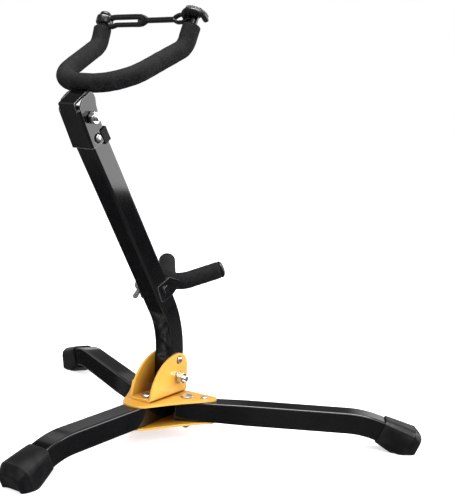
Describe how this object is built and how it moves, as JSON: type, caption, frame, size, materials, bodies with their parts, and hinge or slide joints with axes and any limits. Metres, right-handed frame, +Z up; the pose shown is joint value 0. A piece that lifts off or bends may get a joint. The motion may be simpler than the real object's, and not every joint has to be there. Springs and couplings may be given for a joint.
{
  "type": "saxophone stand",
  "caption": "Folding tripod stand for a saxophone: leaning square tube on a lobed hub, padded U yoke with a safety strap on top, small padded rest below, rubber feet.",
  "frame": {"origin": "centre of the bounding box in plan, on the ground under the feet", "axes": "+X across the stand towards its right leg, -Y towards the instrument's side, +Y back along the rear leg, +Z up"},
  "size_m": [0.4662, 0.3468, 0.4149],
  "materials": {
    "hub_enamel": "glossy golden-yellow powder coat",
    "black_enamel": "glossy black powder coat",
    "moulded_plastic": "moulded black plastic",
    "foam_cover": "matte dark grey closed-cell foam with a fine speckle",
    "foot_rubber": "satin black rubber",
    "steel": "bright zinc-plated steel"
  },
  "bodies": {
    "hub": {"top_plate": "hub_enamel", "bottom_plate": "hub_enamel", "tower_bracket": "hub_enamel", "rear_leg": "black_enamel", "rear_leg_plug": "moulded_plastic", "rear_foot": "foot_rubber", "tower_rear_bolt": "steel", "tower_rear_nut": "steel", "tower_front_bolt": "steel", "tower_front_nut": "steel", "left_leg_pivot_bolt": "steel", "left_leg_pivot_nut": "steel", "right_leg_pivot_bolt": "steel", "right_leg_pivot_nut": "steel", "upright_pivot_bolt": "steel", "upright_pivot_washer": "steel", "upright_pivot_nut": "steel"},
    "left_leg_body": {"left_leg": "black_enamel", "left_leg_plug": "moulded_plastic", "left_foot": "foot_rubber", "left_leg_lock_spring": "steel"},
    "right_leg_body": {"right_leg": "black_enamel", "right_leg_plug": "moulded_plastic", "right_foot": "foot_rubber", "right_leg_lock_spring": "steel"},
    "left_leg_button": {"left_leg_lock_button": "steel"},
    "right_leg_button": {"right_leg_lock_button": "steel"},
    "upright_body": {"upright_tube": "black_enamel", "upright_bottom_plug": "moulded_plastic", "upright_top_plug": "moulded_plastic", "upright_lock_spring": "steel", "head_lock_spring": "steel", "head_pivot_bolt": "steel", "head_pivot_nut": "steel", "rest_pivot_bolt": "steel", "rest_pivot_washer": "steel", "rest_wing_nut": "steel", "head_stop_block": "moulded_plastic"},
    "upright_button_left": {"upright_lock_button_left": "steel"},
    "upright_button_right": {"upright_lock_button_right": "steel"},
    "head_button_left": {"head_lock_button_left": "steel"},
    "head_button_right": {"head_lock_button_right": "steel"},
    "head_body": {"head_bracket": "black_enamel", "yoke_rod": "black_enamel", "yoke_foam": "foam_cover", "yoke_tip_cap_left": "moulded_plastic", "yoke_tip_cap_right": "moulded_plastic"},
    "strap_body": {"safety_strap": "moulded_plastic"},
    "rest_body": {"rest_bracket": "black_enamel", "rest_rod": "black_enamel", "rest_foam": "foam_cover", "rest_end_cap_left": "moulded_plastic", "rest_end_cap_right": "moulded_plastic"}
  },
  "joints": [
    {"name": "upright_fold", "type": "hinge", "parent": "hub", "child": "upright_body", "pos_m": [0, -0.05183, 0.056], "axis": [-1, 0, 0], "range_deg": [0, 60], "deforming": ["upright_lock_spring", "upright_lock_button_left", "upright_lock_button_right"]},
    {"name": "left_leg_fold", "type": "hinge", "parent": "hub", "child": "left_leg_body", "pos_m": [-0.025, -0.05083, 0.026], "axis": [0, 0, -1], "range_deg": [0, 110], "deforming": ["left_leg_lock_spring", "left_leg_lock_button"]},
    {"name": "right_leg_fold", "type": "hinge", "parent": "hub", "child": "right_leg_body", "pos_m": [0.025, -0.05083, 0.026], "axis": [0, 0, 1], "range_deg": [0, 110], "deforming": ["right_leg_lock_spring", "right_leg_lock_button"]},
    {"name": "head_fold", "type": "hinge", "parent": "upright_body", "child": "head_body", "pos_m": [0, 0.09124, 0.31413], "axis": [1, 0, 0], "range_deg": [0, 78], "deforming": ["head_lock_spring", "head_lock_button_left", "head_lock_button_right"]},
    {"name": "rest_fold", "type": "hinge", "parent": "upright_body", "child": "rest_body", "pos_m": [0, -0.02191, 0.15043], "axis": [-1, 0, 0], "range_deg": [0, 75]},
    {"name": "strap_swing", "type": "hinge", "parent": "head_body", "child": "strap_body", "pos_m": [0.0512, 0.00332, 0.40452], "axis": [0, -0.3466, 0.938], "range_deg": [0, 90]},
    {"name": "left_leg_lock_press", "type": "slide", "parent": "left_leg_body", "child": "left_leg_button", "axis": [0, 0, -1], "range_m": [0, 0.004], "stiffness_N_per_m": 600, "springref_m": -0.002, "deforming": ["left_leg_lock_spring"]},
    {"name": "upright_lock_press_left", "type": "slide", "parent": "upright_body", "child": "upright_button_left", "axis": [1, 0, 0], "range_m": [0, 0.0052], "stiffness_N_per_m": 600, "springref_m": -0.002, "deforming": ["upright_lock_spring"]},
    {"name": "head_lock_press_left", "type": "slide", "parent": "upright_body", "child": "head_button_left", "axis": [1, 0, 0], "range_m": [0, 0.0052], "stiffness_N_per_m": 600, "springref_m": -0.002, "deforming": ["head_lock_spring"]},
    {"name": "right_leg_lock_press", "type": "slide", "parent": "right_leg_body", "child": "right_leg_button", "axis": [0, 0, -1], "range_m": [0, 0.004], "stiffness_N_per_m": 600, "springref_m": -0.002, "deforming": ["right_leg_lock_spring"]},
    {"name": "upright_lock_press_right", "type": "slide", "parent": "upright_body", "child": "upright_button_right", "axis": [-1, 0, 0], "range_m": [0, 0.0052], "stiffness_N_per_m": 600, "springref_m": -0.002, "deforming": ["upright_lock_spring"]},
    {"name": "head_lock_press_right", "type": "slide", "parent": "upright_body", "child": "head_button_right", "axis": [-1, 0, 0], "range_m": [0, 0.0052], "stiffness_N_per_m": 600, "springref_m": -0.002, "deforming": ["head_lock_spring"]}
  ]
}
